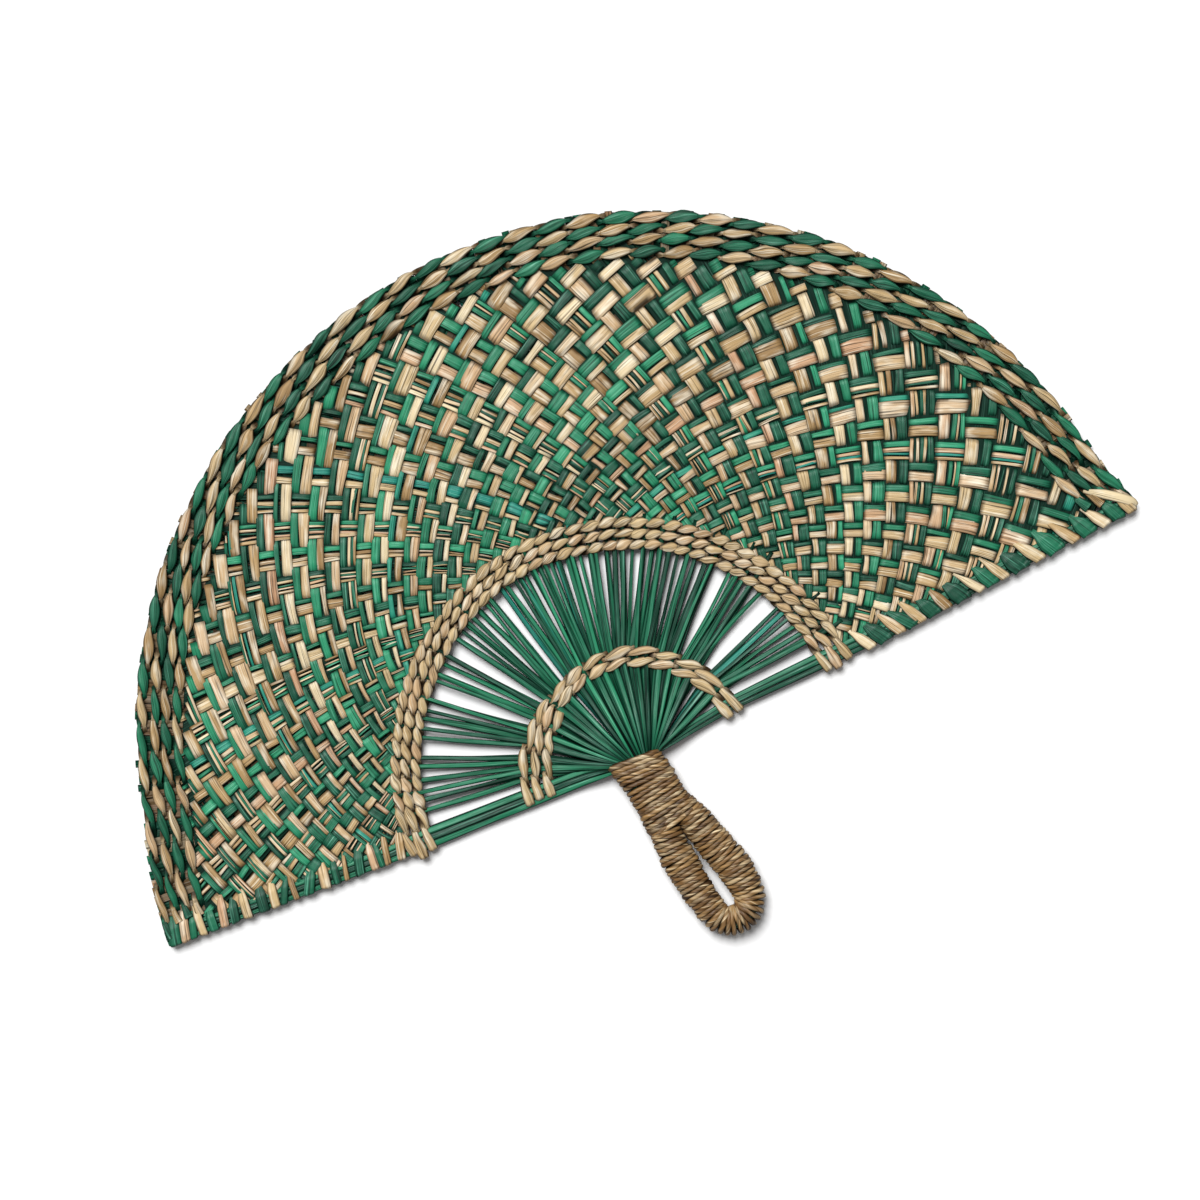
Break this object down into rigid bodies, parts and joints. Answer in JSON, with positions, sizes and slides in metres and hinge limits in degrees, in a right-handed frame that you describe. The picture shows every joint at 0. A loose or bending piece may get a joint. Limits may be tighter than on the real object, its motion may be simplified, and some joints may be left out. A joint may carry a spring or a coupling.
{
  "type": "woven hand fan",
  "caption": "Rigid half-round hand fan woven from green and natural straw, with twined bands and rim and a cord-wound loop handle.",
  "frame": {"origin": "centre of the fan's bounding box, on the surface that the fan lies on", "axes": "+X from the left tip of the blade to the right tip, +Y from the handle to the top of the blade, +Z out of the face"},
  "size_m": [0.3988, 0.2782, 0.0108],
  "materials": {
    "green_straw": "dyed deep green split straw with a soft sheen",
    "natural_straw": "undyed split straw, matt with a faint sheen",
    "woven_straw": "green and undyed strips in plain weave",
    "rim_straw": "green and undyed strips twined by turns",
    "seagrass_cord": "two-ply twisted seagrass cord, dry and matt"
  },
  "bodies": {
    "root": {"edge_rib_right": "green_straw", "edge_rib_left": "green_straw", "rib_01": "green_straw", "rib_02": "green_straw", "rib_03": "green_straw", "rib_04": "green_straw", "rib_05": "green_straw", "rib_06": "green_straw", "rib_07": "green_straw", "rib_08": "green_straw", "rib_09": "green_straw", "rib_10": "green_straw", "rib_11": "green_straw", "rib_12": "green_straw", "rib_13": "green_straw", "rib_14": "green_straw", "rib_15": "green_straw", "rib_16": "green_straw", "rib_17": "green_straw", "rib_18": "green_straw", "rib_19": "green_straw", "rib_20": "green_straw", "rib_21": "green_straw", "rib_22": "green_straw", "rib_23": "green_straw", "rib_24": "green_straw", "rib_25": "green_straw", "rib_26": "green_straw", "rib_27": "green_straw", "rib_28": "green_straw", "rib_29": "green_straw", "rib_30": "green_straw", "rib_31": "green_straw", "rib_32": "green_straw", "rib_33": "green_straw", "rib_34": "green_straw", "rib_35": "green_straw", "handle_core": "green_straw", "inner_band_row_1_strand_a": "natural_straw", "inner_band_row_1_strand_b": "natural_straw", "inner_band_row_2_strand_a": "natural_straw", "inner_band_row_2_strand_b": "natural_straw", "inner_band_short_row_strand_a": "natural_straw", "inner_band_short_row_strand_b": "natural_straw", "middle_band_row_1_strand_a": "natural_straw", "middle_band_row_1_strand_b": "natural_straw", "middle_band_row_2_strand_a": "natural_straw", "middle_band_row_2_strand_b": "natural_straw", "middle_band_row_3_strand_a": "natural_straw", "middle_band_row_3_strand_b": "natural_straw", "woven_panel": "woven_straw", "rim_row_1": "rim_straw", "rim_row_2": "rim_straw", "rim_row_3": "rim_straw", "rim_row_4": "rim_straw", "hem_right": "woven_straw", "hem_left": "woven_straw", "neck_binding": "seagrass_cord", "loop_binding": "seagrass_cord"}
  },
  "joints": []
}
